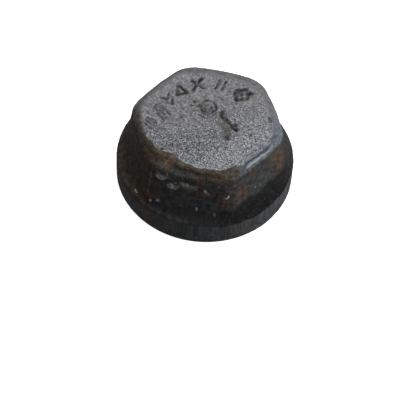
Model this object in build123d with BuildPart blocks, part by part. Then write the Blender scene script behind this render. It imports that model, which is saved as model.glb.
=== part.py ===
from build123d import *
from math import atan2, cos, degrees, radians, sin, sqrt, tan
import os

# A drop-forged hexagon pipe cap for a G 1 1/4 parallel pipe thread, and the flat washer it seals with.
# Origin: centre of the mouth, on the face that the cap stands on. +Z runs through the crown.
# The head's corners lie on +X, 60 degrees apart, so its flats face +Y and -Y.

# ---- driving dimensions, mm ----
overall_height = 28.2
flange_dia = 60.0
rim_height = 9.5            # the trimmed, upright band below the shoulder
rim_edge_radius = 0.6
shoulder_dia = 58.4         # where the hollow of the shoulder meets the rim's flat edge
shoulder_hollow_width = 4.5
shoulder_hollow_height = 7.0
shoulder_sweep = 78         # degrees of the hollow's curve that are used; the head covers the rest

head_flats_top = 46.9       # across flats at the crown, edges not rounded
head_flats_base = 51.8      # across flats where the head meets the flange
head_corner_radius = 9.5
head_face_radius = 78.0     # each face of the head is slightly crowned
crown_edge_radius = 3.5

# G 1 1/4 internal thread, ISO 228-1
thread_pitch = 25.4 / 11
thread_major_dia = 41.910
thread_pitch_dia = 40.431
thread_minor_dia = 39.5     # the usual tapping drill; the standard allows 38.952 to 39.592
thread_flank_angle = 27.5   # half of the 55 degree Whitworth angle
thread_reach = 0.28         # how far the groove's cutter reaches inside the minor diameter

mouth_chamfer_dia = 42.6
relief_dia = 42.6           # the groove that the thread runs out into, which also holds the washer
relief_start = 16.5
seat_height = 20.5
recess_dia = 34.0
recess_top = 23.2
recess_radius = 1.5

washer_outer_dia = 42.0
washer_inner_dia = 32.0
washer_thickness = 3.0
washer_edge = 0.3


def crowned_hexagon(flats):
    """Outline of six shallow arcs joined by six corner arcs that are tangent to them."""
    side_centre = flats / 2 - head_face_radius
    pull = side_centre * cos(radians(30))
    gap = head_face_radius - head_corner_radius
    corner_centre = pull + sqrt(pull**2 - side_centre**2 + gap**2)
    rise = corner_centre * sin(radians(30))
    half_side = degrees(atan2(rise, corner_centre * cos(radians(30)) - side_centre))
    half_corner = 30 - half_side
    for k in range(6):
        corner = 60 * k
        normal = corner + 30
        centre = Vector(corner_centre, 0).rotate(Axis.Z, corner)
        CenterArc(centre, head_corner_radius, corner - half_corner, 2 * half_corner)
        centre = Vector(side_centre, 0).rotate(Axis.Z, normal)
        CenterArc(centre, head_face_radius, normal - half_side, 2 * half_side)


# ---- bore: the space inside the cap, with the thread's groove wound round it ----
flank = tan(radians(thread_flank_angle))
groove_inner = thread_minor_dia / 2 - thread_reach
groove_outer = thread_major_dia / 2
groove_middle = thread_pitch_dia / 2
inner_half_width = thread_pitch / 4 + (groove_middle - groove_inner) * flank
outer_half_width = thread_pitch / 4 - (groove_outer - groove_middle) * flank
groove_start = -1.8
groove_end = relief_start + thread_pitch / 2
end_chamfer = (mouth_chamfer_dia - thread_minor_dia) / 2

with BuildPart() as bore:
    with BuildSketch(Plane.XZ):
        with BuildLine():
            Polyline(
                (0, 0),
                (mouth_chamfer_dia / 2, 0),
                (thread_minor_dia / 2, end_chamfer),
                (thread_minor_dia / 2, relief_start - end_chamfer),
                (relief_dia / 2, relief_start),
                (relief_dia / 2, seat_height),
                (recess_dia / 2, seat_height),
                (recess_dia / 2, recess_top),
                (0, recess_top),
                close=True,
            )
        make_face()
    revolve(axis=Axis.Z)
    fillet(bore.edges().group_by(Axis.Z)[-1], recess_radius)
    with BuildLine():
        winding = Helix(
            pitch=thread_pitch,
            height=groove_end - groove_start,
            radius=groove_middle,
            center=(0, 0, groove_start),
        )
    with BuildSketch(Plane.XZ):
        with BuildLine():
            Polyline(
                (groove_inner, groove_start - inner_half_width),
                (groove_outer, groove_start - outer_half_width),
                (groove_outer, groove_start + outer_half_width),
                (groove_inner, groove_start + inner_half_width),
                close=True,
            )
        make_face()
    sweep(path=winding, is_frenet=True)

# ---- cap body: the forging, with the bore cut into it from the mouth ----
with BuildPart() as cap_body:
    with BuildSketch(Plane.XY.offset(rim_height)):
        with BuildLine():
            crowned_hexagon(head_flats_base)
        make_face()
    with BuildSketch(Plane.XY.offset(overall_height)):
        with BuildLine():
            crowned_hexagon(head_flats_top)
        make_face()
    loft(ruled=True)
    fillet(cap_body.edges().group_by(Axis.Z)[-1], crown_edge_radius)

    # the flange, and the hollow shoulder that rises from its edge to the head
    with BuildSketch(Plane.XZ):
        with BuildLine():
            hollow = EllipticalCenterArc(
                (shoulder_dia / 2, rim_height + shoulder_hollow_height),
                shoulder_hollow_width,
                shoulder_hollow_height,
                start_angle=270 - shoulder_sweep,
                arc_size=shoulder_sweep,
            )
            Polyline(
                hollow @ 1,
                (flange_dia / 2, rim_height),
                (flange_dia / 2, 0),
                (0, 0),
                (0, (hollow @ 0).Y),
                hollow @ 0,
            )
        make_face()
    revolve(axis=Axis.Z)
    rim_edges = cap_body.edges().filter_by(GeomType.CIRCLE).filter_by(
        lambda edge: abs(edge.radius - flange_dia / 2) < 0.01
    )
    fillet(rim_edges, rim_edge_radius)

    add(bore.part, mode=Mode.SUBTRACT)

# ---- sealing washer: lies against the seat, held in the relief by the thread's crests ----
with BuildPart() as sealing_washer:
    with BuildSketch(Plane.XY.offset(seat_height - washer_thickness)):
        Circle(washer_outer_dia / 2)
        Circle(washer_inner_dia / 2, mode=Mode.SUBTRACT)
    extrude(amount=washer_thickness)
    chamfer(sealing_washer.edges().filter_by(GeomType.CIRCLE), washer_edge)

os.makedirs("parts", exist_ok=True)
cap_body.part.label = "cap_body"
export_step(cap_body.part, "parts/cap_body.step")
sealing_washer.part.label = "sealing_washer"
export_step(sealing_washer.part, "parts/sealing_washer.step")
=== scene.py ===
"""Looks of a drop-forged hexagon pipe cap: its blasted crown, scaled flats, trimmed rim and cut thread.

Lengths are in millimetres until a mesh is made, and angles of the cap are in degrees about +Z from +X.
"""

import math
from itertools import product
from types import SimpleNamespace

import bpy
import numpy as np
from mathutils import Matrix, Vector


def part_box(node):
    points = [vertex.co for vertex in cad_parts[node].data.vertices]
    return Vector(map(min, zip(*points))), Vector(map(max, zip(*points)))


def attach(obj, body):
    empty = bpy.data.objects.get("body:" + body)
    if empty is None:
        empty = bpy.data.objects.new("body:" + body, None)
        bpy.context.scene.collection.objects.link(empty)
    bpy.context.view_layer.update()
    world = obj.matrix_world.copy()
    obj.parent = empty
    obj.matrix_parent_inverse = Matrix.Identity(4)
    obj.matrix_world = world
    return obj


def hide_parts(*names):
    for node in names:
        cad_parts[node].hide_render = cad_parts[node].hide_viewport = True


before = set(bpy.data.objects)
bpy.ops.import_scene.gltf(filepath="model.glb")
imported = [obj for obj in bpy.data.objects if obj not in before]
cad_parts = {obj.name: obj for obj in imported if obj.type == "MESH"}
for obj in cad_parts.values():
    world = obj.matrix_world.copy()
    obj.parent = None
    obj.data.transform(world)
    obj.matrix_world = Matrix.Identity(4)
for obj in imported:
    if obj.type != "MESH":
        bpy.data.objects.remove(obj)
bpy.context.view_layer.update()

scene = bpy.context.scene
MM = 0.001
low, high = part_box("cap_body")
HEIGHT = high.z / MM
RIM_RADIUS = (high.x - low.x) / 2 / MM
washer_low, washer_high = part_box("sealing_washer")

# ---- the forging's outside, as in the CAD ----
LEDGE_HEIGHT = 9.5
FLATS_TOP = 46.9
FLATS_BASE = 51.8
FACE_RADIUS = 78.0
DRAFT = math.atan((FLATS_BASE - FLATS_TOP) / 2 / (HEIGHT - LEDGE_HEIGHT))
# radius of each of the six corners, from the one on +X round to 300 degrees
CORNER_RADII = np.array((8.4, 9.5, 9.5, 9.5, 9.5, 9.0))
# tables that go round the cap are (degrees, value)
# the rounding of the crown's edge: how far in from the sides it starts, and how far down it ends
EDGE_WIDTH = (
    (0, 2.8), (30, 4.2), (60, 5.2), (90, 5.0), (120, 5.0), (150, 4.4), (180, 3.6), (210, 3.4),
    (240, 4.4), (270, 3.4), (300, 3.0), (318, 2.1), (335, 1.9), (350, 2.2),
)
EDGE_DROP = (
    (0, 3.0), (30, 3.2), (60, 3.3), (85, 2.8), (120, 4.6), (150, 4.2), (180, 4.2), (210, 4.2),
    (240, 4.0), (270, 3.6), (300, 3.0), (318, 2.2), (335, 2.0), (350, 2.4),
)
RIM_EDGE_WIDTH = 0.9
RIM_EDGE_DROP = 1.2
# how much higher than LEDGE_HEIGHT the band was trimmed
LEDGE_RISE = ((295, 0.0), (325, 0.15), (345, 0.6), (8, 0.5), (40, 0.1), (100, 0.2), (160, 0.0))
# how far the trimmed band is from round
RIM_WAVE = (
    (10, -0.05), (60, -0.1), (120, 0.0), (195, 0.0), (232, -0.12), (283, 0.0), (312, -0.12),
    (336, -0.25),
)
MOUTH_EDGE = 0.6
HOLLOW_SLOPE = 1.9  # height of the shoulder's hollow for each mm that it opens out
LEAST_HOLLOW = 3.0
HOLLOW_SWEEP = math.radians(74)  # how far round its ellipse the hollow's curve runs

# ---- the bore, as in the CAD ----
MOUTH_RADIUS = 21.3
THREAD_MINOR = 19.75
THREAD_MAJOR = 20.955
THREAD_MIDDLE = 20.2155
THREAD_PITCH = 25.4 / 11
THREAD_START_TURN = -1.8 / THREAD_PITCH  # the groove starts below the mouth
FLANK = math.tan(math.radians(27.5))
RELIEF_START = 16.5
RELIEF_RADIUS = 21.3
SEAT_HEIGHT = 20.5
RECESS_RADIUS = 17.0
RECESS_TOP = 23.2
RECESS_CORNER = 1.5
WASHER_INNER = 16.0
WASHER_EDGE = 0.35

# ---- fineness of the mesh ----
CROWN_CELLS = 172  # across the crown; its rim has four times as many points
RIM_START = -45  # degrees, where the rim of the crown's grid starts
OUTER_POINTS = 4 * CROWN_CELLS
JOIN = 4  # points of an outer ring to each point of an inner one
INNER_POINTS = OUTER_POINTS // JOIN
RINGS_PER_PITCH = 12  # of the thread
EDGE_STEPS = 12  # down the crown's rounded edge
SIDE_STEPS = 23
HOLLOW_STEPS = 14
BAND_EDGE_STEPS = 5
BAND_STEPS = 13
MOUTH_EDGE_STEPS = 4
MOUTH_RINGS = (28.6, 27.4, 26.2)  # radii on the outer half of the mouth's face
INNER_RINGS = (25.0, 23.6, 22.3, MOUTH_RADIUS)
RELIEF_RINGS = (RELIEF_START, 18.5, SEAT_HEIGHT)
SEAT_RINGS = (20.0, 18.5, RECESS_RADIUS)
RECESS_CORNER_STEPS = 5
RECESS_RINGS = (12.0, 8.0, 4.0, 1.0)
WASHER_POINTS = 192
WASHER_EDGE_STEPS = 5


# ---------------- numbers

NOISE_VALUES = 4096
NOISE_SHIFT = 500.5  # keeps the lattice of the noise clear of the axes
SCATTER = (73856093, 19349663, 83492791)  # spreads the lattice's cells over the values


def smooth(value, start, end):
    """0 below start, 1 above end, and a smooth step between them. start may be the larger."""
    t = np.clip((value - start) / (end - start), 0, 1)
    return t * t * (3 - 2 * t)


def round_the_cap(table, angle):
    """A value that changes smoothly round the cap, from a table of (degrees, value)."""
    degrees, values = (np.array(column, float) for column in zip(*table))
    return np.interp(angle, degrees, values, period=360)


def noise(points, size, seed, octaves=1):
    """Smooth noise of -1 to 1, with bumps `size` mm across, and finer ones for each further octave."""
    table = np.random.default_rng(seed).uniform(-1, 1, NOISE_VALUES)
    total, strength, whole = 0, 1.0, 0
    for _ in range(octaves):
        q = points / size + NOISE_SHIFT
        cell = np.floor(q).astype(np.int64)
        t = smooth(q - cell, 0, 1)
        value = 0
        for corner in product((0, 1), repeat=3):
            slot = np.bitwise_xor.reduce((cell + corner) * SCATTER, axis=1) % NOISE_VALUES
            weight = np.prod(np.where(corner, t, 1 - t), axis=1)
            value = value + weight * table[slot]
        total = total + strength * value
        whole += strength
        size, strength = size / 2, strength / 2
    return total / whole


def around(angle, centre):
    """Angle from a centre, from -180 to 180 degrees."""
    return (angle - centre + 180) % 360 - 180


def angle_of(points):
    """Degrees about +Z from +X, from -180 to 180."""
    return np.degrees(np.arctan2(points[:, 1], points[:, 0]))


def polar(angle, radius, height):
    """Points from angles in degrees, radii and heights, which may be arrays of any one shape."""
    turn = np.radians(angle)
    columns = np.broadcast_arrays(radius * np.cos(turn), radius * np.sin(turn), height)
    return np.stack(columns, axis=-1)


# ---------------- the forging's outline

def head_radius(angle, height):
    """Distance from the axis to the head's outline, a hexagon of six crowned sides and round corners."""
    across = FLATS_TOP / 2 + (HEIGHT - height) * math.tan(DRAFT)
    corner = CORNER_RADII[np.round(angle / 60).astype(int) % 6]
    centre = across - FACE_RADIUS
    pull = centre * math.cos(math.pi / 6)
    corner_centre = pull + np.sqrt(pull**2 - centre**2 + (FACE_RADIUS - corner)**2)
    off_corner = np.abs((angle + 30) % 60 - 30)
    t = np.radians(off_corner)
    round_part = corner_centre * np.cos(t)
    round_part = round_part + np.sqrt(np.maximum(corner**2 - (corner_centre * np.sin(t))**2, 0))
    t = np.radians(30 - off_corner)
    side_part = centre * np.cos(t) + np.sqrt(FACE_RADIUS**2 - (centre * np.sin(t))**2)
    lean = np.arctan2(corner_centre / 2, corner_centre * math.cos(math.pi / 6) - centre)
    meet = math.pi / 6 - lean
    meet_angle = np.degrees(np.arctan2(corner * np.sin(meet), corner_centre + corner * np.cos(meet)))
    return np.where(off_corner < meet_angle, round_part, side_part)


def rim_radius(angle):
    """Radius of the trimmed band."""
    return RIM_RADIUS + round_the_cap(RIM_WAVE, angle)


def ledge_height(angle):
    """Height of the trimmed band's top."""
    return LEDGE_HEIGHT + round_the_cap(LEDGE_RISE, angle)


def as_rings(rows, angle):
    """Rings of (radius, height), with both as arrays that have a value for each angle."""
    full = np.ones_like(angle)
    return [(radius * full, height * full) for radius, height in rows]


def crown_edge(angle):
    """The rounding from crown to sides: its centre's distance from the axis, and its rings."""
    width = round_the_cap(EDGE_WIDTH, angle)
    drop = round_the_cap(EDGE_DROP, angle)
    last_turn = np.arctan(math.tan(DRAFT) * drop / width)
    centre = head_radius(angle, HEIGHT - drop * (1 - np.sin(last_turn))) - width * np.cos(last_turn)
    rows = []
    for share in np.linspace(0, 1, EDGE_STEPS + 1):
        turn = math.pi / 2 + (last_turn - math.pi / 2) * share
        rows.append((centre + width * np.cos(turn), HEIGHT - drop * (1 - np.sin(turn))))
    return centre, rows


def side_rows(angle, start):
    """The sides, from the height where they start, and the hollow that opens out to the trimmed band."""
    rim, ledge = rim_radius(angle), ledge_height(angle)
    to_rim = rim - RIM_EDGE_WIDTH - head_radius(angle, LEDGE_HEIGHT)
    rise = np.maximum(HOLLOW_SLOPE * to_rim, LEAST_HOLLOW)
    end = ledge + rise
    rows = []
    for t in np.linspace(0, 1, SIDE_STEPS + 1)[1:]:
        height = start + (end - start) * t
        rows.append((head_radius(angle, height), height))
    for turn in np.linspace(0, HOLLOW_SWEEP, HOLLOW_STEPS + 1)[1:]:
        height = end - rise * math.sin(turn) / math.sin(HOLLOW_SWEEP)
        outward = (1 - math.cos(turn)) / (1 - math.cos(HOLLOW_SWEEP))
        rows.append((head_radius(angle, height) + to_rim * outward, height))
    return rows


def band_rows(angle):
    """The trimmed band, whose top edge wanders where the flash tore off, and the mouth's outer edge."""
    rim, ledge = rim_radius(angle), ledge_height(angle)
    tear = 0.55 * noise(polar(angle, RIM_RADIUS, 0.0), 5.0, 11, 4) - 0.1
    rows = []
    for turn in np.linspace(math.pi / 2, 0, BAND_EDGE_STEPS + 1)[1:]:
        radius = rim - RIM_EDGE_WIDTH * (1 - math.cos(turn))
        rows.append((radius, ledge + tear * math.cos(turn) - RIM_EDGE_DROP * (1 - math.sin(turn))))
    top = rows[-1][1]
    for t in np.linspace(0, 1, BAND_STEPS + 1)[1:]:
        rows.append((rim, top + (MOUTH_EDGE - top) * t))
    for turn in np.linspace(0, -math.pi / 2, MOUTH_EDGE_STEPS + 1)[1:]:
        rows.append((rim - MOUTH_EDGE * (1 - math.cos(turn)), MOUTH_EDGE * (1 + math.sin(turn))))
    return rows


def outer_rows(angle):
    """The forging's outside below the flat of the crown, as rings of (radius, height)."""
    _, rows = crown_edge(angle)
    rows += side_rows(angle, rows[-1][1]) + band_rows(angle)
    rows += [(radius, 0.0) for radius in MOUTH_RINGS]
    return as_rings(rows, angle)


def thread_radius(angle, height):
    """The wall of the threaded stretch: a 55 degree groove that winds round the bore."""
    turns = height / THREAD_PITCH - angle / 360 - THREAD_START_TURN
    off_middle = np.abs((turns + 0.5) % 1 - 0.5) * THREAD_PITCH
    groove = THREAD_MIDDLE + (THREAD_PITCH / 4 - off_middle) / FLANK
    return np.clip(groove, THREAD_MINOR, THREAD_MAJOR)


def inner_rows(angle):
    """The mouth's inner half, thread, relief groove, seat and recess, as rings of (radius, height)."""
    rows = [(radius, 0.0) for radius in INNER_RINGS]
    step = THREAD_PITCH / RINGS_PER_PITCH
    for height in np.arange(step, RELIEF_START, step):
        chamfer = MOUTH_RADIUS - min(height, RELIEF_START - height)
        rows.append((np.maximum(thread_radius(angle, height), chamfer), height))
    rows += [(RELIEF_RADIUS, height) for height in RELIEF_RINGS]
    rows += [(radius, SEAT_HEIGHT) for radius in SEAT_RINGS]
    for turn in np.linspace(0, math.pi / 2, RECESS_CORNER_STEPS + 1):
        radius = RECESS_RADIUS - RECESS_CORNER * (1 - math.cos(turn))
        rows.append((radius, RECESS_TOP - RECESS_CORNER * (1 - math.sin(turn))))
    rows += [(radius, RECESS_TOP) for radius in RECESS_RINGS]
    return as_rings(rows, angle)


# ---------------- marks punched into the crown

# each is a list of strokes, which are lists of points, in units of the mark's size
SHAPES = {
    "chevrons": [[(-0.32, 0.45), (0.0, 0.1), (0.32, 0.45)], [(-0.3, -0.1), (0.0, -0.45), (0.32, -0.1)]],
    "triangle": [[(-0.36, -0.42), (0.34, -0.4), (0.0, 0.5), (-0.36, -0.42)]],
    "cross": [[(-0.36, -0.5), (0.34, 0.5)], [(-0.36, 0.42), (0.4, -0.38)]],
    "tally": [[(-0.3, -0.45), (-0.25, 0.5)], [(0.22, -0.5), (0.3, 0.45)]],
    "diamond": [[(0.0, 0.6), (0.5, 0.0), (0.0, -0.6), (-0.5, 0.0), (0.0, 0.6)],
                [(0.0, 0.05), (0.0, -0.05)]],
    "three_dots": [[(-0.4, -0.3), (-0.4, -0.3)], [(0.4, -0.3), (0.4, -0.3)], [(0.0, 0.4), (0.0, 0.4)]],
    "hatch": [[(-0.4, -0.5), (-0.2, 0.5)], [(0.0, -0.5), (0.2, 0.45)], [(0.4, -0.4), (0.6, 0.5)]],
    "gouge": [[(-0.66, 0.66), (-0.52, 0.3), (-0.12, 0.08), (0.24, -0.22), (0.62, -0.56)]],
    "scrape": [[(-0.3, 0.5), (0.1, -0.1), (-0.1, -0.6)]],
    "scribble": [[(-0.5, 0.1), (-0.2, 0.5), (0.3, 0.4), (0.5, -0.1), (0.1, -0.5), (-0.4, -0.3),
                  (-0.5, 0.1)],
                 [(-0.2, 0.1), (0.1, 0.2), (0.2, -0.1), (-0.1, -0.2)]],
    "nick": [[(-0.5, 0.3), (0.0, -0.1), (0.5, 0.1)]],
    "pit": [[(0.0, 0.0), (0.0, 0.0)]],
}
# marks, as (shape, place on the crown, turn in degrees, size, stroke width, depth, how much dirt)
MARKS = (
    ("chevrons", (-14.6, 5.0), 48, 4.6, 1.0, 0.32, 0.75),
    ("triangle", (-12.0, 10.4), 36, 4.8, 1.1, 0.45, 1.0),
    ("cross", (-6.9, 14.0), 20, 4.6, 1.2, 0.5, 1.1),
    ("tally", (0.8, 15.7), -4, 4.2, 0.9, 0.3, 0.85),
    ("diamond", (8.3, 13.4), -22, 5.0, 1.3, 0.45, 1.0),
    ("three_dots", (-5.8, 5.4), 10, 2.6, 1.1, 0.22, 0.85),
    ("scribble", (-1.0, 5.4), 10, 5.6, 0.8, 0.26, 0.85),
    ("scribble", (-1.6, 4.8), 130, 3.4, 0.8, 0.22, 0.85),
    ("tally", (-1.8, 1.7), 70, 2.6, 0.9, 0.22, 0.75),
    ("hatch", (-14.8, -1.6), 60, 3.8, 0.8, 0.26, 0.6),
    ("scribble", (-16.6, 1.0), 40, 3.4, 0.8, 0.24, 0.52),
    ("hatch", (-18.2, -6.6), 75, 3.4, 0.9, 0.28, 0.64),
    ("gouge", (6.9, 1.0), 0, 4.9, 1.5, 0.65, 1.2),
    ("scrape", (6.4, -2.2), 20, 5.4, 2.6, 0.26, 0.48),
    ("nick", (20.3, 5.2), -20, 2.4, 0.8, 0.3, 0.9),
)
# round pits, as (x, y, width, depth, how much dirt)
PITS = (
    (11.0, 15.0, 2.2, 0.4, 1.1), (7.6, 14.2, 2.4, 0.4, 1.1), (1.4, 2.6, 1.2, 0.22, 0.6),
    (8.9, -0.6, 2.6, 0.6, 1.2), (6.2, 0.2, 2.4, 0.3, 0.55), (3.9, 4.3, 1.8, 0.35, 1.0),
    (8.0, -5.4, 2.4, 0.28, 0.8), (6.6, -3.6, 1.8, 0.22, 0.8), (-11.5, -15.7, 1.0, 0.45, 1.1),
    (15.2, -2.7, 1.1, 0.25, 0.9), (-8.8, -1.2, 1.4, 0.2, 0.7), (-5.6, 0.4, 1.1, 0.18, 0.55),
    (-2.9, 9.0, 1.3, 0.18, 0.5), (2.6, 9.6, 1.1, 0.18, 0.5), (13.2, 8.2, 1.4, 0.18, 0.45),
)


def distance_to_stroke(points, start, end):
    """Distance from each point to a straight stroke, all in the plane."""
    run = end - start
    length = run @ run
    t = np.clip((points - start) @ run / length, 0, 1) if length else np.zeros(len(points))
    return np.linalg.norm(points - start - t[:, None] * run, axis=1)


def punched(points):
    """How deep the marks are at each point of the crown, in mm, and how much dirt they hold."""
    wander = np.stack([noise(points, 1.3, 21, 3), noise(points, 1.3, 22, 3)], 1)
    plane = points[:, :2] + 0.42 * wander
    worn = 0.78 + 0.85 * noise(points, 1.5, 23, 3)
    depth, dirt, burr = np.zeros((3, len(points)))
    pits = tuple(("pit", (x, y), 0, 1.0, *measures) for x, y, *measures in PITS)
    for shape, place, turn, size, width, deep, dirty in MARKS + pits:
        c, s = math.cos(math.radians(turn)), math.sin(math.radians(turn))
        for stroke in SHAPES[shape]:
            corners = [np.array((c * x - s * y, s * x + c * y)) * size + place for x, y in stroke]
            for start, end in zip(corners, corners[1:]):
                off = distance_to_stroke(plane, start, end) / width
                depth = np.maximum(depth, deep * smooth(off, 0.75, 0.15))
                burr = np.maximum(burr, deep * smooth(off, 0.55, 0.95) * smooth(off, 1.7, 1.0))
                dirt = np.maximum(dirt, dirty * smooth(off, 0.85, 0.15))
    depth = depth - 0.3 * np.where(depth > 0, 0.5, 1.0) * burr
    return depth * worn, dirt * np.clip(worn + 0.05, 0, 1)


# ---------------- where the surface changes

# radius of the blasted area
BLASTED_RADIUS = (
    (3, 22.1), (15, 21.0), (33, 21.2), (49, 21.3), (65, 21.1), (89, 19.8), (111, 20.4), (128, 21.9),
    (160, 21.6), (182, 22.2), (204, 21.5), (219, 20.9), (230, 20.6), (238, 18.9), (248, 18.1),
    (257, 19.5), (266, 20.1), (272, 19.7), (280, 20.3), (288, 20.8), (295, 21.4), (306, 20.2),
    (313, 21.3), (321, 22.8), (334, 22.8), (344, 22.5),
)
# half the width over which it fades out
FADE = (
    (0, 1.4), (20, 1.6), (90, 1.8), (170, 1.8), (205, 1.6), (222, 0.7), (236, 0.35), (310, 0.35),
    (335, 0.9),
)
# how strong the bead along that area's edge is; LIP_FULL is its highest
LIP_FULL = 0.45
LIP = ((0, 0.0), (175, 0.0), (212, 0.2), (235, 0.45), (255, 0.45), (275, 0.35), (295, 0.25), (315, 0.05))

# scuffs, bright nicks and rust on the sides, as (degrees, height, half width, half height, strength)
# the entry at 303.5 degrees is a painted highlight on the upper edge of that corner; the one at 238.8 is
# a light line down a corner, edge wear with a painted highlight
PALE = (
    (246.3, 22.9, 2.2, 1.5, 1.0), (250.5, 23.6, 1.8, 0.9, 0.8), (244.5, 24.2, 1.6, 0.8, 0.6),
    (303.5, 23.6, 1.2, 1.2, 0.45), (238.8, 19.5, 0.7, 6.5, 0.5), (257, 20.4, 1.9, 1.4, 1.0),
    (260.5, 20.9, 1.4, 0.9, 0.7), (266.5, 22.6, 2.0, 1.1, 0.9), (271, 21.9, 2.2, 1.2, 0.8),
    (275, 22.6, 1.4, 0.7, 0.6), (24, 19.0, 1.8, 1.2, 0.8), (97, 21.5, 2.2, 1.4, 0.9),
    (133, 18.3, 1.5, 1.5, 0.8), (158, 20.2, 1.2, 2.1, 0.7),
)
CHIPS = (
    (282.0, 21.4, 0.5, 0.6, 0.9), (283.2, 20.8, 0.45, 0.5, 1.0), (284.6, 20.2, 0.5, 0.45, 0.8),
    (298.3, 18.8, 0.5, 0.3, 0.9), (299.3, 19.4, 0.25, 0.55, 1.0), (299.8, 20.2, 0.3, 0.3, 0.8),
    (247.4, 12.2, 0.55, 0.5, 1.0), (248.8, 12.8, 0.6, 0.3, 0.7), (242.6, 10.9, 0.5, 0.5, 1.0),
    (229, 9.9, 0.8, 0.22, 0.8), (277, 12.8, 0.5, 0.55, 1.1), (290, 11.4, 0.4, 0.65, 1.1),
    (292, 24.1, 0.3, 0.5, 0.6), (323.5, 17.0, 0.35, 0.5, 0.6), (252, 25.0, 0.4, 0.4, 0.7),
    (259, 22.3, 0.4, 0.4, 0.9), (66, 14.6, 0.5, 0.7, 0.9), (112, 12.6, 0.6, 0.6, 0.9),
    (133, 12.3, 0.5, 0.6, 0.9), (40, 20.0, 0.4, 0.6, 0.8),
)
# the entry at 239.6 degrees is a light line down a corner, edge wear with a painted highlight
RUST = (
    (272, 20.3, 2.8, 0.8, 1.2), (279, 21.0, 2.0, 0.9, 1.2), (285, 20.2, 1.6, 0.8, 1.0),
    (295, 16.4, 2.2, 2.8, 0.7), (308.5, 19.8, 2.4, 3.4, 0.9), (313, 17.0, 1.8, 2.2, 0.6),
    (321.6, 25.0, 2.0, 1.7, 1.2), (349, 23.7, 3.4, 3.0, 1.0), (352, 19.5, 3.2, 4.2, 0.9),
    (250.0, 27.3, 1.9, 1.6, 1.2), (243.6, 6.5, 2.6, 2.4, 1.0), (239, 12.6, 3.8, 1.8, 0.8),
    (239.6, 20.0, 0.8, 7.0, 0.6), (300, 8.0, 1.6, 1.6, 0.7), (262, 25.4, 2.2, 1.0, 0.55),
    (276, 25.3, 2.8, 1.2, 1.0), (266, 19.0, 2.2, 0.8, 0.6), (184, 23.6, 2.4, 4.4, 0.6),
    (197, 22.0, 2.8, 5.0, 0.6), (18, 15.0, 1.8, 3.0, 0.8), (47, 22.5, 2.0, 1.8, 0.9),
    (62, 12.5, 2.8, 1.4, 0.8), (84, 18.0, 1.4, 3.0, 0.8), (108, 23.8, 2.6, 1.4, 0.9),
    (126, 16.0, 1.8, 2.6, 0.8), (150, 21.0, 1.6, 1.8, 0.9), (70, 5.5, 1.8, 2.0, 0.8),
    (155, 4.2, 2.4, 1.8, 0.8),
)
# how strong the ochre crust outside the blasted area is, and how wide
OCHRE = (
    (0, 0.5), (25, 0.3), (60, 0.1), (110, 0.1), (150, 0.2), (180, 0.35), (208, 0.5), (228, 0.9),
    (255, 1.0), (275, 0.9), (303, 1.0), (313, 0.6), (330, 0.35), (350, 0.6),
)
OCHRE_REACH = (
    (0, 2.0), (60, 2.2), (130, 2.0), (185, 3.6), (215, 3.4), (236, 5.0), (246, 4.4), (258, 2.9),
    (268, 2.8), (285, 5.0), (303, 5.6), (322, 1.6), (350, 2.8),
)
# how much of the crown's rounded edge is rubbed to a smooth grey
RUBBED = (
    (0, 0.5), (15, 0.8), (40, 1.0), (140, 1.0), (172, 0.8), (195, 0.5), (215, 0.3), (235, 0.0),
    (335, 0.0),
)
# how brown the scale is
BROWN = (
    (0, 0.6), (40, 0.45), (90, 0.6), (150, 0.8), (200, 1.0), (235, 1.0), (246, 0.5), (262, 0.1),
    (285, 0.2), (300, 0.6), (325, 0.1), (345, 0.5),
)
# how much sooty dirt and painted shade darken the hollow above the rim
HOLLOW_DIRT_AND_SHADE = (
    (0, 0.8), (20, 0.5), (60, 0.5), (120, 0.5), (180, 0.3), (235, 0.22), (262, 0.5), (290, 0.74),
    (308, 1.05), (318, 1.3), (340, 1.35), (352, 0.95),
)
# height above the ledge round which that dirt and painted shade thin out
HOLLOW_TOP = (
    (0, 3.8), (60, 5.0), (120, 4.0), (200, 3.0), (240, 3.5), (275, 4.5), (300, 4.6), (315, 5.3),
    (338, 5.0), (350, 4.0),
)
# how blue the rubbed edge of the crown is: a blue tint with a painted reflection of the lamp on the
# right
BLUE = ((16, 0.85), (34, 0.4), (55, 0.0), (298, 0.0), (314, 0.8), (340, 0.95), (0, 1.0))
# how freshly sheared the trimmed band looks
SHEARED = (
    (0, 0.9), (60, 0.7), (130, 0.6), (190, 0.35), (238, 0.25), (256, 0.45), (275, 0.8), (295, 1.0),
    (345, 1.0),
)

# ---- how the outside is worn ----
PATCH_RADIUS = 26.0  # distance from the axis at which a patch has its stated width
CROWN_BLEND = (HEIGHT - 3.0, HEIGHT - 0.4)  # where the sides' wear gives way to the crown's
CROWN_TOP = (HEIGHT - 3.2, HEIGHT - 1.6)  # where the crown's own surface begins
CROWN_SINK = 0.46  # keeps the crown's bumps and bead below the CAD's height
RIM_PLAY = 0.02  # keeps the shear marks inside the band's radius
FALL_SHARE = 0.8  # how much of a drop in height counts as distance from the blasted area
GROOVE_MIDDLE = 330  # degrees round the cap, near the middle of the painted groove shade and its painted highlight line


# ---------------- mesh of the forging

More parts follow.
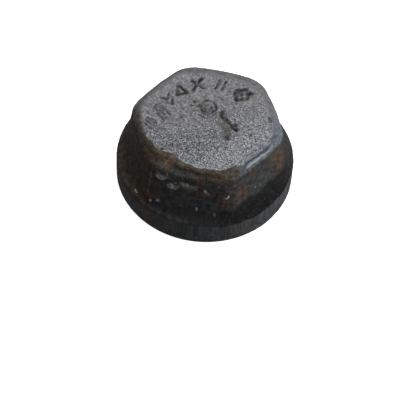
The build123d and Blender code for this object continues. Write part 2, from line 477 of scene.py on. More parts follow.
def crown_grid():
    """A square grid folded onto a disc: shares of the disc's radius, angles, the grid and its rim."""
    side = np.linspace(-1, 1, CROWN_CELLS + 1)
    a, b = np.meshgrid(side, side, indexing="xy")
    wide = np.abs(a) > np.abs(b)
    share = np.where(wide, np.abs(a), np.abs(b))
    safe = np.where(share == 0, 1, share)
    ratio = np.where(wide, b * np.sign(a), a * np.sign(b)) / safe
    base = np.where(wide, np.where(a > 0, 0, 180), np.where(b > 0, 90, 270))
    angle = base + 45 * np.where(wide, ratio, -ratio)
    n = CROWN_CELLS
    index = np.arange((n + 1)**2).reshape(n + 1, n + 1)
    rim = np.concatenate([index[:-1, n], index[n, ::-1][:-1], index[::-1, 0][:-1], index[0, :-1]])
    return share.ravel(), angle.ravel() % 360, index, rim


def ring_quads(upper, lower):
    """Quads between two rings of the same number of points."""
    return np.stack([upper, lower, np.roll(lower, -1), np.roll(upper, -1)], axis=1)


def join_rings(fine, coarse):
    """Triangles between a ring of points and one of a quarter as many."""
    fine = np.concatenate([fine, fine[:1]])
    triangles = []
    for k, (here, there) in enumerate(zip(coarse, np.roll(coarse, -1))):
        five = fine[JOIN * k:JOIN * (k + 1) + 1]
        triangles += [(five[0], here, five[1]), (five[1], here, five[2]), (five[2], here, there),
                      (five[2], there, five[3]), (five[3], there, five[4])]
    return triangles


def build_forging():
    """The cap body: its points and faces, and how many points the crown and all the outside have."""
    share, grid_angle, index, ring = crown_grid()
    flat_edge, _ = crown_edge(grid_angle)
    points = [polar(grid_angle, share * flat_edge, HEIGHT)]
    corners = [index[:-1, :-1], index[:-1, 1:], index[1:, 1:], index[1:, :-1]]
    quads = [np.stack(corners, -1).reshape(-1, 4)]
    crown_count = len(share)
    count = crown_count
    angle = (np.arange(OUTER_POINTS) * 360 / OUTER_POINTS + RIM_START) % 360
    for radius, height in outer_rows(angle)[1:]:
        points.append(polar(angle, radius, height))
        new = count + np.arange(OUTER_POINTS)
        quads.append(ring_quads(ring, new))
        count, ring = count + OUTER_POINTS, new
    outer_count = count

    inner_angle = angle[::JOIN]
    triangles = []
    for radius, height in inner_rows(inner_angle):
        points.append(polar(inner_angle, radius, height))
        new = count + np.arange(INNER_POINTS)
        if len(ring) == OUTER_POINTS:
            triangles += join_rings(ring, new)
        else:
            quads.append(ring_quads(ring, new))
        count, ring = count + INNER_POINTS, new
    points.append(np.array([[0.0, 0.0, RECESS_TOP]]))
    triangles += [(here, count, there) for here, there in zip(ring, np.roll(ring, -1))]
    faces = np.concatenate(quads).tolist() + [tuple(int(i) for i in t) for t in triangles]
    return np.concatenate(points), faces, crown_count, outer_count


def push(points, amount, towards):
    """Moves each point by its own amount along its own direction."""
    return points + amount[:, None] * towards


def patches(points, table, seed, uneven=0.5):
    """Uneven patches from a table of (degrees, height, half width, half height, strength), as 0 to 1."""
    angle = angle_of(points)
    mm_per_degree = math.radians(PATCH_RADIUS)
    wobble = uneven * noise(points, 1.3, seed, 3)
    total = np.zeros(len(points))
    for centre, height, wide, tall, strength in table:
        off = np.hypot(around(angle, centre) * mm_per_degree / wide, (points[:, 2] - height) / tall)
        total = np.maximum(total, strength * smooth(off + wobble, 1.35, 0.55))
    return total


def light_edge(points):
    """How far each point is inside the edge of the blasted area, in mm; it is ragged."""
    reach = np.hypot(points[:, 0], points[:, 1])
    return round_the_cap(BLASTED_RADIUS, angle_of(points)) - reach + 0.9 * noise(points, 3.2, 31, 4)


def parts_of_outside(height, reach, angle):
    """How much each point belongs to the trimmed band, to the head and to the crown, as 0 to 1."""
    rim, ledge = rim_radius(angle), ledge_height(angle)
    on_rim = smooth(reach, rim - 0.6, rim - 0.1) * smooth(height, 0.0, 0.8)
    on_rim = on_rim * smooth(height - ledge, 0.5, -0.3)
    return on_rim, smooth(height - ledge, 0, 3), smooth(height, *CROWN_BLEND)


def sideways_wear(points, on_rim, on_sides):
    """How far points are pushed outward: warped, dented sides and shear marks on the trimmed band."""
    warp = 0.16 * noise(points, 14.0, 1) + 0.14 * noise(points, 5.0, 2, 2)
    warp = warp + 0.09 * noise(points, 1.8, 10, 2)
    pitted = np.minimum(noise(points, 1.6, 3, 2) + 0.1, 0)
    dents = patches(points, PALE, 51) + 0.5 * patches(points, RUST, 52) + patches(points, CHIPS, 53, 0.2)
    shear = 0.1 * noise(points * (1, 1, 0.12), 1.1, 4, 2) + 0.04 * noise(points, 3.0, 5)
    torn = smooth(points[:, 2], 4.6, 3.4) * 0.1 * noise(points, 0.9, 12, 2)
    sides = on_sides * (warp + 0.16 * pitted - 0.14 * dents)
    return sides + on_rim * (np.minimum(shear + torn, RIM_PLAY) - RIM_PLAY)


def weather(points, crown_count, outer_count):
    """Moves the outside's points: warped faces, dents, torn and sheared rim, and the punched marks."""
    outside = points[:outer_count].copy()
    radial = outside * (1, 1, 0)
    length = np.linalg.norm(radial, axis=1, keepdims=True)
    radial = radial / np.maximum(length, 1e-6)
    height, angle = outside[:, 2], angle_of(outside)
    on_rim, on_head, on_crown = parts_of_outside(height, length[:, 0], angle)
    outside = push(outside, sideways_wear(outside, on_rim, on_head * (1 - on_crown)), radial)

    bumps = 0.07 * noise(outside, 11.0, 6) + 0.035 * noise(outside, 2.4, 7, 2)
    bumps = bumps + 0.03 * noise(outside, 0.9, 8)
    lumps = smooth(height, HEIGHT - 6.0, HEIGHT - 2.5) * smooth(light_edge(outside), 2.8, 0.0)
    bumps = bumps + lumps * 0.22 * noise(outside, 2.6, 13, 3)
    rise = on_crown * (bumps - CROWN_SINK)
    rise[:crown_count] -= punched(outside[:crown_count])[0]
    # where the crown was blasted its edge has a rolled bead, with a groove below it
    lip = round_the_cap(LIP, angle)
    out = FALL_SHARE * (HEIGHT - height) - light_edge(outside)
    roll = smooth(out, 0.0, 0.8) * smooth(out, 3.2, 1.4) - smooth(out, 2.0, 3.8) * smooth(out, 7.5, 4.4)
    roll = roll * lip * smooth(height, LEDGE_HEIGHT + 8, LEDGE_HEIGHT + 12)
    outside = push(outside, 0.6 * roll - 0.3 * lip * on_crown, radial)
    rise = rise + 0.6 * roll
    shoulder = (1 - on_rim) * (1 - on_head) * smooth(height, 0.0, 0.5)
    outside[:, 2] += rise + shoulder * 0.12 * noise(outside, 3.0, 9, 2)
    moved = points.copy()
    moved[:outer_count] = outside
    return moved


def new_object(name, data):
    """An object with that data, in the scene."""
    made = bpy.data.objects.new(name, data)
    scene.collection.objects.link(made)
    return made


def make_object(name, points, faces):
    """A smooth-shaded object, from points in mm."""
    mesh = bpy.data.meshes.new(name)
    mesh.from_pydata((points * MM).tolist(), [], faces)
    mesh.validate()
    mesh.update()
    mesh.polygons.foreach_set("use_smooth", [True] * len(mesh.polygons))
    return new_object(name, mesh)


def set_attribute(piece, name, values):
    """Stores a number at each point of the mesh, for the material to read."""
    attribute = piece.data.attributes.new(name, "FLOAT", "POINT")
    attribute.data.foreach_set("value", np.asarray(values, np.float32))


forged, forged_faces, crown_points, outside_points = build_forging()
forged = weather(forged, crown_points, outside_points)
cap = make_object("cap_forging", forged, forged_faces)


# ---------------- washer

def build_washer():
    """A flat ring with softly rounded edges."""
    outer, inner = washer_high.x / MM - WASHER_EDGE, WASHER_INNER + WASHER_EDGE
    bottom, top = washer_low.z / MM + WASHER_EDGE, washer_high.z / MM - WASHER_EDGE
    section = []
    for centre_r, centre_z, start in ((outer, top, 90), (outer, bottom, 0), (inner, bottom, -90),
                                      (inner, top, -180)):
        for turn in np.radians(np.linspace(start, start - 90, WASHER_EDGE_STEPS + 1)):
            out, up = WASHER_EDGE * math.cos(turn), WASHER_EDGE * math.sin(turn)
            section.append((centre_r + out, centre_z + up))
    ring = np.arange(WASHER_POINTS)
    points = np.concatenate([polar(ring * 360 / WASHER_POINTS, *place) for place in section])
    faces = []
    for k in range(len(section)):
        following = (k + 1) % len(section)
        faces += ring_quads(k * WASHER_POINTS + ring, following * WASHER_POINTS + ring).tolist()
    return points, faces


washer = make_object("washer_ring", *build_washer())


# ---------------- materials

# colours are linear red, green and blue; a pair is the dark and the light tone of one surface
SCALE = ((0.028, 0.029, 0.03), (0.088, 0.091, 0.092))
BROWN_SCALE = ((0.024, 0.0165, 0.0115), (0.08, 0.058, 0.041))
SHEARED_STEEL = ((0.036, 0.04, 0.044), (0.112, 0.119, 0.126))
TORN_STEEL = ((0.044, 0.044, 0.044), (0.1, 0.101, 0.103))
RUBBED_STEEL = ((0.11, 0.11, 0.113), (0.19, 0.19, 0.196))
OCHRE_CRUST = ((0.024, 0.02, 0.011), (0.112, 0.096, 0.06))
REDDISH_CRUST = ((0.032, 0.02, 0.014), (0.11, 0.074, 0.052))
CRUST_PITS, CRUST_SPECKS = (0.016, 0.014, 0.009), (0.19, 0.172, 0.125)
RUST_FILM = ((0.056, 0.033, 0.024), (0.15, 0.098, 0.072))
SCUFF_SMEAR, SCUFF_METAL = (0.235, 0.233, 0.226), (0.56, 0.56, 0.545)
NICK = ((0.24, 0.225, 0.205), (0.6, 0.59, 0.56))
# SOOT_AND_SHADE and THIN_SOOT_AND_SHADE are dark soot that also paints the shade in the hollow above the
# rim
SOOT_AND_SHADE = ((0.005, 0.005, 0.005), (0.017, 0.0165, 0.017))
THIN_SOOT_AND_SHADE = (0.046, 0.046, 0.056)
BLASTED_STEEL = ((0.088, 0.086, 0.092), (0.325, 0.321, 0.337))
EVEN_STEEL = (0.182, 0.178, 0.186)
# PAINTED_SHEEN_STEEL is a painted sheen: lighter steel for the more brightly lit parts of the crown
COLD_STEEL, PAINTED_SHEEN_STEEL = (0.148, 0.16, 0.18), (0.34, 0.35, 0.372)
# BLASTED_GLINTS_PAINTED are painted glints, bright specks of light caught by the blasted grain
BLASTED_PITS, BLASTED_GLINTS_PAINTED = (0.02, 0.023, 0.028), (0.64, 0.67, 0.71)
# BLUE_TINT_AND_REFLECTION is a blue tint with a painted reflection of the light; BLUE_GLINTS_PAINTED are
# painted glints on it
BLUE_TINT_AND_REFLECTION = ((0.075, 0.096, 0.122), (0.195, 0.232, 0.276))
# PAINTED_GROOVE_SHADE is a dark line painted as the shade of a groove along the edge
BLUE_GLINTS_PAINTED, PAINTED_GROOVE_SHADE = (0.4, 0.44, 0.49), (0.046, 0.06, 0.08)
# PAINTED_EDGE_HIGHLIGHT is a painted highlight along the crown's edge and its bead
PAINTED_EDGE_HIGHLIGHT = (0.33, 0.352, 0.375)
STAIN = ((0.066, 0.061, 0.058), (0.148, 0.14, 0.137))
DIRT = ((0.012, 0.0105, 0.01), (0.042, 0.036, 0.033))
TURNED_STEEL = ((0.28, 0.28, 0.285), (0.46, 0.455, 0.45))
TURNED_TARNISH = (0.22, 0.2, 0.175)
RUBBER = ((0.012, 0.012, 0.012), (0.022, 0.022, 0.022))


def new_material(name):
    """A material with one shader: the material, its nodes and that shader."""
    material = bpy.data.materials.new(name)
    material.use_nodes = True
    tree = material.node_tree
    tree.nodes.clear()
    output = tree.nodes.new("ShaderNodeOutputMaterial")
    shader = tree.nodes.new("ShaderNodeBsdfPrincipled")
    tree.links.new(shader.outputs["BSDF"], output.inputs["Surface"])
    return material, tree, shader


def feed(tree, socket, value):
    """Links a socket to another one, or sets it to a number or to a colour."""
    if isinstance(value, bpy.types.NodeSocket):
        tree.links.new(value, socket)
    elif isinstance(value, tuple):
        socket.default_value = (*value, 1.0)
    elif value is not None:
        socket.default_value = value


def object_place(tree, stretch=(1, 1, 1)):
    """Place on the object, in mm; a stretch below 1 draws a texture out along that axis."""
    place = tree.nodes.new("ShaderNodeTexCoord").outputs["Object"]
    mapping = tree.nodes.new("ShaderNodeMapping")
    mapping.inputs["Scale"].default_value = [s / MM for s in stretch]
    tree.links.new(place, mapping.inputs["Vector"])
    return mapping.outputs["Vector"]


def turned_place(tree):
    """A place that changes only with distance from the axis and with height, for marks of turning."""
    split = tree.nodes.new("ShaderNodeSeparateXYZ")
    tree.links.new(object_place(tree), split.inputs[0])
    across = sums(tree, "POWER", split.outputs["X"], 2.0)
    along = sums(tree, "POWER", split.outputs["Y"], 2.0)
    together = tree.nodes.new("ShaderNodeCombineXYZ")
    tree.links.new(sums(tree, "SQRT", sums(tree, "ADD", across, along)), together.inputs["X"])
    tree.links.new(split.outputs["Z"], together.inputs["Z"])
    return together.outputs[0]


def noise_node(tree, place, size, detail=2.0, roughness=0.5):
    """Noise of 0 to 1 with bumps `size` mm across."""
    made = tree.nodes.new("ShaderNodeTexNoise")
    tree.links.new(place, made.inputs["Vector"])
    made.inputs["Scale"].default_value = 1 / size
    made.inputs["Detail"].default_value = detail
    made.inputs["Roughness"].default_value = roughness
    return made.outputs["Fac"]


def stored(tree, name):
    """A number stored at the mesh's points."""
    made = tree.nodes.new("ShaderNodeAttribute")
    made.attribute_name = name
    return made.outputs["Fac"]


def sums(tree, operation, a, b=None, c=None):
    """The result of one sum of numbers or sockets."""
    made = tree.nodes.new("ShaderNodeMath")
    made.operation = operation
    for socket, value in zip(made.inputs, (a, b, c)):
        feed(tree, socket, value)
    return made.outputs[0]


def ramp(tree, value, start, end, from_value=0.0, to_value=1.0):
    """A smooth step from one value, at start, to another, at end."""
    made = tree.nodes.new("ShaderNodeMapRange")
    made.interpolation_type = "SMOOTHSTEP"
    feed(tree, made.inputs["Value"], value)
    names = ("From Min", "From Max", "To Min", "To Max")
    for name, number in zip(names, (start, end, from_value, to_value)):
        made.inputs[name].default_value = number
    return made.outputs["Result"]


def mix(tree, share, a, b):
    """Colour a where share is 0 and colour b where it is 1."""
    made = tree.nodes.new("ShaderNodeMix")
    made.data_type = "RGBA"
    # by number, because this node has several sockets of each name
    for socket, value in ((0, share), (6, a), (7, b)):
        feed(tree, made.inputs[socket], value)
    return made.outputs[2]


def bump(tree, height, distance, strength, under=None):
    """A normal tilted by a texture that stands up to `distance` mm, on top of another such normal."""
    made = tree.nodes.new("ShaderNodeBump")
    made.inputs["Distance"].default_value = distance * MM
    made.inputs["Strength"].default_value = strength
    feed(tree, made.inputs["Height"], height)
    if under is not None:
        tree.links.new(under, made.inputs["Normal"])
    return made.outputs["Normal"]


def broken(tree, name, texture, spread=0.6, start=0.35, end=0.65):
    """A number stored at the mesh's points, as 0 to 1 with an edge that a texture breaks up."""
    uneven = sums(tree, "MULTIPLY_ADD", texture, spread, -spread / 2)
    return ramp(tree, sums(tree, "ADD", stored(tree, name), uneven), start, end)


def forging_noises(tree):
    """The textures that the forging's surfaces share, from coarse to fine."""
    place = object_place(tree)
    mottle = noise_node(tree, place, 1.7, 6.0, 0.72)
    return SimpleNamespace(
        broad=noise_node(tree, place, 5.0, 4.0, 0.6),
        mottle=mottle,
        flecks=ramp(tree, mottle, 0.36, 0.64),
        ragged=noise_node(tree, place, 1.1, 5.0, 0.75),
        grain=noise_node(tree, place, 0.62, 2.0, 0.6),
        blasts=noise_node(tree, place, 0.46, 3.0, 0.65),
        fine=noise_node(tree, place, 0.28, 2.0, 0.6),
    )


def scale_colour(tree, noises):
    """Scale on the flats and the shoulder: blue-grey, or brown where the mesh says."""
    plain = mix(tree, noises.flecks, *SCALE)
    warm = mix(tree, noises.flecks, *BROWN_SCALE)
    return mix(tree, broken(tree, "brown", noises.broad, 1.2, 0.2, 0.9), plain, warm)


def band_colour(tree, noises):
    """The trimmed band: sheared in upright streaks above, torn below."""
    streaks = noise_node(tree, object_place(tree, (1, 1, 0.07)), 0.8, 3.0, 0.6)
    sheared = mix(tree, ramp(tree, streaks, 0.3, 0.7), *SHEARED_STEEL)
    torn = mix(tree, noises.flecks, *TORN_STEEL)
    return mix(tree, broken(tree, "torn", noises.mottle), sheared, torn)


def ochre_colour(tree, noises):
    """A crust of ochre and reddish areas, with dark pits and light specks."""
    ochre = mix(tree, noises.flecks, *OCHRE_CRUST)
    reddish = mix(tree, noises.flecks, *REDDISH_CRUST)
    ochre = mix(tree, ramp(tree, noises.broad, 0.46, 0.62), ochre, reddish)
    ochre = mix(tree, ramp(tree, noises.blasts, 0.48, 0.36, 0.0, 0.7), ochre, CRUST_PITS)
    return mix(tree, ramp(tree, noises.blasts, 0.56, 0.7, 0.0, 0.6), ochre, CRUST_SPECKS)


def with_wear(tree, noises, colour):
    """Lays the rubbed edge, the crust, rust, scuffs, nicks and the hollow's soot with painted shade over
    the colour of the sides.
    """
    rubbed = mix(tree, noises.flecks, *RUBBED_STEEL)
    colour = mix(tree, broken(tree, "rubbed", noises.broad, 0.7, 0.25, 0.75), colour, rubbed)
    crust = broken(tree, "ochre", noises.mottle, 1.2, 0.3, 0.8)
    colour = mix(tree, crust, colour, ochre_colour(tree, noises))
    rust = mix(tree, noises.flecks, *RUST_FILM)
    colour = mix(tree, broken(tree, "rust", noises.ragged, 1.5, 0.15, 1.1), colour, rust)
    smear = sums(tree, "MULTIPLY", broken(tree, "pale", noises.mottle, 1.5, 0.15, 0.95), 0.85)
    colour = mix(tree, smear, colour, SCUFF_SMEAR)
    colour = mix(tree, broken(tree, "pale", noises.ragged, 2.8, 0.85, 1.2), colour, SCUFF_METAL)
    nicks = mix(tree, ramp(tree, noises.ragged, 0.4, 0.55), *NICK)
    colour = mix(tree, broken(tree, "chipped", noises.fine, 0.7, 0.25, 0.65), colour, nicks)
    # the hollow above the rim: dark soot together with painted shade
    soot_and_shade = mix(tree, noises.flecks, *SOOT_AND_SHADE)
    soot_and_shade = mix(tree, ramp(tree, noises.ragged, 0.52, 0.68, 0.0, 0.8), soot_and_shade, THIN_SOOT_AND_SHADE)
    return mix(tree, broken(tree, "soot_and_shade", noises.mottle, 1.1, 0.1, 1.0), colour, soot_and_shade)


def crown_colour(tree, noises, crisp):
    """The blasted crown: soft grey, lighter where a painted sheen falls, and speckled with pits and
    painted glints where it is crisp.
    """
    steel = mix(tree, ramp(tree, noises.ragged, 0.34, 0.66), *BLASTED_STEEL)
    steel = mix(tree, ramp(tree, noises.broad, 0.4, 0.62, 0.0, 0.5), steel, EVEN_STEEL)
    steel = mix(tree, ramp(tree, crisp, 0.45, 1.0, 0.0, 0.6), steel, COLD_STEEL)
    # painted sheen: the crown's steel is lightened where it should look more brightly lit
    painted_sheen = ramp(tree, stored(tree, "painted_sheen"), 0.0, 1.3, 0.0, 0.5)
    steel = mix(tree, painted_sheen, steel, PAINTED_SHEEN_STEEL)
    pits = sums(tree, "MULTIPLY", ramp(tree, noises.blasts, 0.5, 0.37), crisp)
    # painted glints: bright specks of caught light, where the crown is crisp
    painted_glints = sums(tree, "MULTIPLY", ramp(tree, noises.blasts, 0.52, 0.68), crisp)
    return mix(tree, painted_glints, mix(tree, pits, steel, BLASTED_PITS), BLASTED_GLINTS_PAINTED)


def with_edges_and_marks(tree, noises, colour):
    """Lays the crown's edge, a blue tint with a painted reflection, painted groove shade and a painted
    highlight, and the dirt in its marks, over a colour.
    """
    # the blue edge: a blue tint and a painted reflection of the lamp on the right, flecked with painted
    # glints
    blue = mix(tree, ramp(tree, noises.ragged, 0.36, 0.64), *BLUE_TINT_AND_REFLECTION)
    blue = mix(tree, ramp(tree, noises.blasts, 0.55, 0.7, 0.0, 0.6), blue, BLUE_GLINTS_PAINTED)
    colour = mix(tree, broken(tree, "blue", noises.mottle, 1.4, 0.3, 1.4), colour, blue)
    # painted shade: a dark line along the right-front edge where a groove's shade would fall
    colour = mix(tree, broken(tree, "groove", noises.ragged, 1.4, 0.4, 0.9), colour, PAINTED_GROOVE_SHADE)
    # painted highlight: a light line along the right-front edge and along the rolled bead
    colour = mix(tree, broken(tree, "painted_edge_highlight", noises.ragged, 1.3, 0.2, 1.2), colour, PAINTED_EDGE_HIGHLIGHT)
    stain = mix(tree, noises.flecks, *STAIN)
    colour = mix(tree, broken(tree, "dirt", noises.mottle, 0.4, 0.05, 0.6), colour, stain)
    dirt = mix(tree, noises.flecks, *DIRT)
    return mix(tree, broken(tree, "dirt", noises.ragged, 1.2, 0.4, 1.0), colour, dirt)


def turned_colour(tree, noises, rings):
    """The turned faces, with rings round the axis."""
    tarnish = ramp(tree, noises.broad, 0.45, 0.7, 0.0, 0.5)
    return mix(tree, tarnish, mix(tree, rings, *TURNED_STEEL), TURNED_TARNISH)


def forging_material():
    """Forged steel; numbers stored at the mesh's points say which surface is where."""
    material, tree, shader = new_material("forged_steel_look")
    noises = forging_noises(tree)
    rings = noise_node(tree, turned_place(tree), 0.22, 2.0, 0.7)
    crisp = stored(tree, "crisp")
    machined = stored(tree, "machined")
    blasted = broken(tree, "blasted", noises.grain, 0.5, 0.25, 0.75)

    colour = mix(tree, stored(tree, "cut"), scale_colour(tree, noises), band_colour(tree, noises))
    colour = with_wear(tree, noises, colour)
    colour = mix(tree, blasted, colour, crown_colour(tree, noises, crisp))
    colour = with_edges_and_marks(tree, noises, colour)
    colour = mix(tree, machined, colour, turned_colour(tree, noises, rings))
    tree.links.new(colour, shader.inputs["Base Color"])

    rough = ramp(tree, noises.grain, 0.3, 0.7, 0.68, 0.52)
    rough = sums(tree, "MULTIPLY_ADD", machined, -0.24, rough)
    rough = sums(tree, "MULTIPLY_ADD", stored(tree, "soot_and_shade"), 0.3, rough)
    tree.links.new(rough, shader.inputs["Roughness"])
    metal = sums(tree, "MULTIPLY_ADD", blasted, 0.25, machined)
    tree.links.new(sums(tree, "MINIMUM", metal, 0.9), shader.inputs["Metallic"])
    shader.inputs["Specular IOR Level"].default_value = 0.25

    # the grain stands highest where the crown is crisp, and there is none on turned faces
    grain_share = sums(tree, "SUBTRACT", sums(tree, "MULTIPLY_ADD", crisp, blasted, 1.25), blasted)
    grain = sums(tree, "MULTIPLY", noises.grain, ramp(tree, machined, 0.0, 1.0, 1.0, 0.0))
    grain = sums(tree, "MULTIPLY", grain, grain_share)
    normal = bump(tree, sums(tree, "MULTIPLY_ADD", rings, 0.12, grain), 0.34, 0.9)
    normal = bump(tree, noises.fine, 0.05, 0.6, normal)
    tree.links.new(normal, shader.inputs["Normal"])
    return material


def rubber_material():
    """Black rubber, slightly mottled."""
    material, tree, shader = new_material("washer_rubber_look")
    place = object_place(tree)
    tree.links.new(mix(tree, noise_node(tree, place, 2.0, 3.0), *RUBBER), shader.inputs["Base Color"])
    shader.inputs["Roughness"].default_value = 0.6
    tree.links.new(bump(tree, noise_node(tree, place, 0.3), 0.03, 0.5), shader.inputs["Normal"])
    return material


# ---------------- where each kind of surface lies

def measure(points, outer_count):
    """Where the cap body's points lie; `inside` is how far they are inside the blasted area."""
    outside = np.zeros(len(points))
    outside[:outer_count] = 1
    return SimpleNamespace(
        points=points,
        outside=outside,
        height=points[:, 2],
        fall=HEIGHT - points[:, 2],
        reach=np.linalg.norm(points[:, :2], axis=1),
        angle=angle_of(points) % 360,
        top=smooth(points[:, 2], *CROWN_TOP),
        inside=light_edge(points),
    )


def crown_zones(at):
    """The blasted area: where it is, how crisp its grain is, and where a painted sheen lightens it."""
    x, y = at.points[:, 0], at.points[:, 1]
    fade = round_the_cap(FADE, at.angle)
    forward = y - 0.5 * x + 4.0 * noise(at.points, 7.0, 67, 3)
    # painted sheen: lighter towards the right, where the lamp is, and towards the back-left
    right = smooth(x - 0.6 * y, 5.0, 20.0)
    back_left = smooth(y - 0.8 * x, 10.0, 24.0)
    return {
        "blasted": smooth(at.inside, -fade, fade) * at.top,
        # crisp also sets where the crown's painted glints are, most towards the front
        "crisp": 0.34 + 0.66 * smooth(forward, 12.0, -14.0),
        "painted_sheen": 1.3 * right + 0.5 * back_left,
    }


def side_zones(at):
    """The ochre crust round the blasted area, and rust, scuffs, nicks and brown scale on the sides."""
    out = FALL_SHARE * at.fall - at.inside
    wide = round_the_cap(OCHRE_REACH, at.angle)
    strength = round_the_cap(OCHRE, at.angle)
    return {
        "ochre": strength * smooth(out, -0.4, 0.2) * smooth(out, wide + 1.2, wide - 0.6),
        "rust": patches(at.points, RUST, 61),
        "pale": patches(at.points, PALE, 62),
        "chipped": patches(at.points, CHIPS, 64, 0.5),
        "brown": round_the_cap(BROWN, at.angle) * smooth(at.height, 1.0, 13.0),
    }


def edge_zones(at):
    """The crown's edge: a blue tint with a painted reflection, a dark line of painted groove shade, a
    painted highlight line, and rubbed to a smooth grey.
    """
    from_edge = head_radius(at.angle, HEIGHT) - at.reach
    wander = from_edge + 0.5 * noise(at.points, 2.0, 63, 3)
    off_middle = around(at.angle, GROOVE_MIDDLE)
    along = smooth(off_middle, -19, -10) * smooth(off_middle, 26, 12)
    # line and bead are painted highlights: a light line along the right-front edge, and one along the
    # top of the rolled bead
    line = smooth(np.abs(wander - 0.7), 0.55, 0.1) * smooth(at.fall, 1.6, 0.8)
    bead = smooth(np.abs(at.inside - 0.2), 0.6, 0.15) * round_the_cap(LIP, at.angle) / LIP_FULL * at.top
    bead = bead * smooth(noise(at.points, 4.0, 68, 2), -0.3, 0.3)
    worn_to = at.fall + 1.2 * noise(at.points, 3.5, 69, 4)
    rubbed = round_the_cap(RUBBED, at.angle) * smooth(worn_to, 3.6, 2.0)
    return {
        # a blue tint with a painted reflection of the lamp on the right
        "blue": smooth(from_edge, 6.5, 2.0) * smooth(at.fall, 2.8, 1.2) * round_the_cap(BLUE, at.angle),
        # a dark line painted as a groove's shade, beside the painted highlight line
        "groove": smooth(np.abs(wander - 1.7), 0.65, 0.2) * along,
        "painted_edge_highlight": np.maximum(line * along, 1.2 * bead),
        "rubbed": rubbed * smooth(at.inside, 0.6, -0.2),
    }


def rim_zones(at):
    """Soot with painted shade in the hollow above the rim, and the trimmed band, freshly cut above and
    torn below.
    """
    rim, above = rim_radius(at.angle), at.height - ledge_height(at.angle)
    soot_and_shade_top = round_the_cap(HOLLOW_TOP, at.angle)
    soot_and_shade_height = above + 1.6 * noise(at.points, 4.0, 65, 3)
    # soot and painted shade, darkest low in the hollow and thinning out upwards
    soot_and_shade = smooth(soot_and_shade_height, 1.3 * soot_and_shade_top, 0.4 * soot_and_shade_top) * round_the_cap(HOLLOW_DIRT_AND_SHADE, at.angle)
    fresh = round_the_cap(SHEARED, at.angle)
    cut_height = above + 0.45 * noise(at.points, 1.8, 66, 3)
    on_rim = smooth(at.reach, rim - 0.6, rim - 0.35)
    return {
        "soot_and_shade": soot_and_shade * smooth(cut_height, -1.5, 3.0 - 3.7 * fresh),
        "cut": on_rim * smooth(cut_height, -0.1, 2.4 * fresh - 3.3) * fresh,
        "torn": smooth(at.height, 4.8, 3.2),
    }


def paint_forging(piece, points, crown_count, outer_count):
    """Stores at the cap body's points how much of each kind of surface is there."""
    at = measure(points, outer_count)
    dirt = np.zeros(len(points))
    dirt[:crown_count] = punched(points[:crown_count])[1]
    zones = {**crown_zones(at), **side_zones(at), **edge_zones(at), "dirt": dirt, **rim_zones(at)}
    for name, values in zones.items():
        set_attribute(piece, name, values * at.outside)
    rim = rim_radius(at.angle)
    mouth = smooth(at.height, 0.3, 0.1) * smooth(at.reach, rim - 0.3, rim - 0.7)
    set_attribute(piece, "machined", np.maximum(1 - at.outside, mouth))


paint_forging(cap, forged, crown_points, outside_points)
cap.data.materials.append(forging_material())
washer.data.materials.append(rubber_material())


# ---------------- ties to the frame

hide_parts("cap_body")
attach(cap, "root")
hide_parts("sealing_washer")
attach(washer, "root")


# ---------------- studio, in metres

FLOOR_HALF = 3.0
FLOOR_DROP = 0.00002  # keeps the floor off the face that the cap stands on
FLOOR_GLOW = 0.93
DOME_RADIUS = 2.9
DOME_POINTS = 48
DOME_TILTS = (-2, 8, 20, 35, 50, 65, 80)  # degrees above the floor
CAP_MIDDLE = (0, 0, 0.014)
WORLD_LIGHT = 0.18


def backdrop(name, points, faces, glow):
    """A white surface that only the camera sees; it neither lights the cap nor shades it."""
    mesh = bpy.data.meshes.new(name)
    mesh.from_pydata(points, [], faces)
    piece = new_object(name, mesh)
    material, _, shader = new_material(name + "_white")
    shader.inputs["Base Color"].default_value = (0.9, 0.9, 0.9, 1)
    shader.inputs["Roughness"].default_value = 1.0
    shader.inputs["Emission Color"].default_value = (1, 1, 1, 1)
    shader.inputs["Emission Strength"].default_value = glow
    mesh.materials.append(material)
    piece.visible_diffuse = False
    piece.visible_glossy = False
    return piece


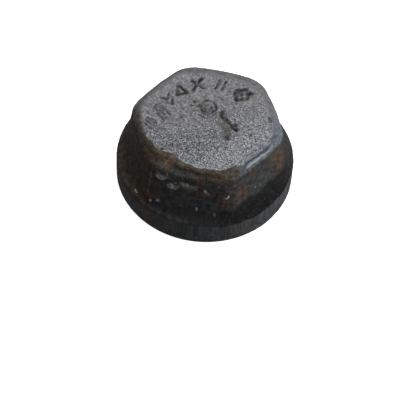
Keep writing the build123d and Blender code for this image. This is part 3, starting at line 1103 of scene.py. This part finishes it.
def make_studio():
    """A dome, and a floor that glows nearly as white as the light on it, for only a hint of shadow."""
    half, z = FLOOR_HALF, -FLOOR_DROP
    corners = [(-half, -half, z), (half, -half, z), (half, half, z), (-half, half, z)]
    backdrop("floor", corners, [(0, 1, 2, 3)], FLOOR_GLOW)
    ring = np.arange(DOME_POINTS)
    angle = ring * 360 / DOME_POINTS
    tilts = np.radians(DOME_TILTS)
    rings = [polar(angle, DOME_RADIUS * np.cos(t), DOME_RADIUS * np.sin(t)) for t in tilts]
    points = np.concatenate([*rings, [(0.0, 0.0, DOME_RADIUS)]])
    faces = []
    for k in range(len(DOME_TILTS) - 1):
        faces += ring_quads(k * DOME_POINTS + ring, (k + 1) * DOME_POINTS + ring).tolist()
    last = len(points) - 1 - DOME_POINTS + ring
    faces += [(int(a), int(b), len(points) - 1) for a, b in zip(last, np.roll(last, -1))]
    dome = backdrop("dome", points.tolist(), faces, 1.0)
    dome.visible_shadow = False


def area_light(name, place, size, power):
    """A round lamp that faces the cap."""
    light = bpy.data.lights.new(name, "AREA")
    light.shape = "DISK"
    light.size = size
    light.energy = power
    lamp = new_object(name, light)
    lamp.location = place
    lamp.rotation_euler = (Vector(CAP_MIDDLE) - Vector(place)).to_track_quat("-Z", "Y").to_euler()


def make_lights():
    """Even light from all round, a lamp above and behind, and one on the right."""
    world = bpy.data.worlds.new("studio")
    world.use_nodes = True
    background = world.node_tree.nodes["Background"]
    background.inputs["Color"].default_value = (1, 1, 1, 1)
    background.inputs["Strength"].default_value = WORLD_LIGHT
    scene.world = world
    area_light("overhead", (-0.065, 0.243, 0.58), 0.3, 1.7)
    area_light("right", (0.525, 0.074, 0.296), 0.35, 2.7)


def make_camera():
    """A long lens from the front, well above the cap, turned a little on its axis."""
    azimuth, elevation, roll = math.radians(10.79), math.radians(53.32), math.radians(3.48)
    distance = 0.58265
    aim = Vector((0.00147, -0.0123, 0.0))
    level = math.cos(elevation)
    back = Vector((math.sin(azimuth) * level, -math.cos(azimuth) * level, math.sin(elevation)))
    data = bpy.data.cameras.new("camera")
    data.lens = 155.3
    data.sensor_width = 36.0
    data.clip_start, data.clip_end = 0.01, 20.0
    camera = new_object("camera", data)
    turn = (-back).to_track_quat("-Z", "Y").to_matrix().to_4x4() @ Matrix.Rotation(roll, 4, "Z")
    camera.matrix_world = Matrix.Translation(aim + back * distance) @ turn
    scene.camera = camera


make_studio()
make_lights()
make_camera()
scene.view_settings.view_transform = "Standard"
